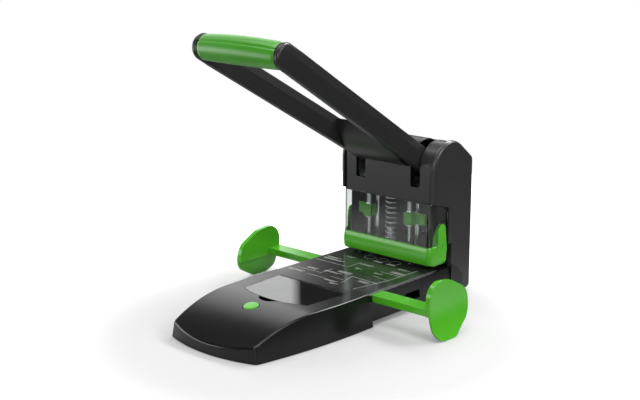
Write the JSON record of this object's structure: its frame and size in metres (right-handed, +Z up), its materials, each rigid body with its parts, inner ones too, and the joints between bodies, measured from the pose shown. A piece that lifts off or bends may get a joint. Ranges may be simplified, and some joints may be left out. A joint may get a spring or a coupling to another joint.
{
  "type": "hole punch",
  "caption": "Heavy-duty desk hole punch with a U-shaped hand lever, a sprung punch carriage behind a clear guard, two sliding paper guides and a lidded storage tray.",
  "frame": {"origin": "the point on the desk midway between the two punch centres", "axes": "+Z up, +X to the operator's right, -Y towards the operator"},
  "size_m": [0.4208, 0.475, 0.4175],
  "materials": {
    "cover_black": "satin-gloss moulded plastic, fine grain",
    "matte_black": "dull moulded plastic",
    "green_plastic": "glossy moulded plastic",
    "green_grip": "soft-touch satin sleeve",
    "clear_plastic": "clear moulded acrylic",
    "clear_lid": "clear moulded acrylic",
    "table_black": "satin black powder coat",
    "plate_steel": "zinc-plated sheet steel",
    "bright_steel": "ground and polished steel",
    "dark_steel": "blackened steel",
    "bush_bronze": "sintered bronze",
    "spring_steel": "bright spring wire",
    "foot_rubber": "moulded rubber",
    "washer_nylon": "natural nylon"
  },
  "bodies": {
    "chassis": {"base_plate": "plate_steel", "front_feet": "foot_rubber", "rear_pad": "foot_rubber", "front_cover": "cover_black", "storage_tray": "matte_black", "lid_pin": "bright_steel", "label_card": "green_plastic", "button_spring": "spring_steel", "table_plate": "table_black", "rear_housing": "cover_black", "guide_channel": "matte_black", "die_plate": "plate_steel", "die_bushes": "bright_steel", "paper_stop": "table_black", "frame_left": "plate_steel", "frame_right": "plate_steel", "frame_bridge": "plate_steel", "guide_rod_left": "bright_steel", "guide_rod_right": "bright_steel", "spring_bracket": "plate_steel", "return_spring": "spring_steel", "inner_wall": "matte_black", "center_housing": "cover_black", "shell_left": "cover_black", "shell_right": "cover_black", "rear_cover": "cover_black", "pivot_shaft": "bright_steel", "shaft_clips": "dark_steel", "pivot_washers": "washer_nylon", "rear_screws": "plate_steel", "base_screws": "plate_steel"},
    "lever": {"arm_left": "cover_black", "arm_right": "cover_black", "lever_bridge": "cover_black", "grip_tube": "plate_steel", "grip_sleeve": "green_grip", "grip_collars": "cover_black", "rollers": "bright_steel"},
    "carriage": {"crosshead": "dark_steel", "rod_bushes": "bush_bronze", "punch_left": "bright_steel", "punch_right": "bright_steel", "punch_holder_left": "bright_steel", "punch_holder_right": "bright_steel"},
    "latch_l": {"latch_left": "green_plastic"},
    "latch_r": {"latch_right": "green_plastic"},
    "guard": {"guard_shield": "clear_plastic", "guard_foot": "green_plastic", "guard_rivets": "plate_steel"},
    "guide_r": {"guide_bar_right": "green_plastic", "paddle_right": "green_plastic"},
    "guide_l": {"guide_bar_left": "green_plastic", "paddle_left": "green_plastic"},
    "lid": {"storage_lid": "clear_lid"},
    "button": {"release_button": "green_plastic"},
    "drawer": {"chip_drawer": "cover_black"}
  },
  "joints": [
    {"name": "lever_hinge", "type": "hinge", "parent": "chassis", "child": "lever", "pos_m": [0, 0.046, 0.19], "axis": [1, 0, 0], "range_deg": [0, 30.5], "stiffness_Nm_per_rad": 4, "springref_deg": -57.3},
    {"name": "carriage_slide", "type": "slide", "parent": "chassis", "child": "carriage", "axis": [0, 0, -1], "range_m": [0, 0.02344], "deforming": ["return_spring"]},
    {"name": "latch_left_slide", "type": "slide", "parent": "carriage", "child": "latch_l", "axis": [-1, 0, 0], "range_m": [0, 0.0075]},
    {"name": "latch_right_slide", "type": "slide", "parent": "carriage", "child": "latch_r", "axis": [1, 0, 0], "range_m": [0, 0.0075]},
    {"name": "guard_lift", "type": "slide", "parent": "chassis", "child": "guard", "axis": [0, 0, 1], "range_m": [0, 0.011]},
    {"name": "guide_right_slide", "type": "slide", "parent": "chassis", "child": "guide_r", "axis": [1, 0, 0], "range_m": [-0.077, 0.04]},
    {"name": "guide_left_slide", "type": "slide", "parent": "chassis", "child": "guide_l", "axis": [-1, 0, 0], "range_m": [-0.077, 0.04]},
    {"name": "lid_hinge", "type": "hinge", "parent": "chassis", "child": "lid", "pos_m": [0, -0.1766, 0.046], "axis": [-1, 0, 0], "range_deg": [0, 95]},
    {"name": "button_slide", "type": "slide", "parent": "chassis", "child": "button", "axis": [0, 0, -1], "range_m": [0, 0.002], "stiffness_N_per_m": 400, "springref_m": -0.002, "deforming": ["button_spring"]},
    {"name": "drawer_slide", "type": "slide", "parent": "chassis", "child": "drawer", "axis": [1, 0, 0], "range_m": [0, 0.12]}
  ],
  "couplings": [
    {"joint": "carriage_slide", "follows": "lever_hinge", "m_per_rad": 0.044031}
  ]
}
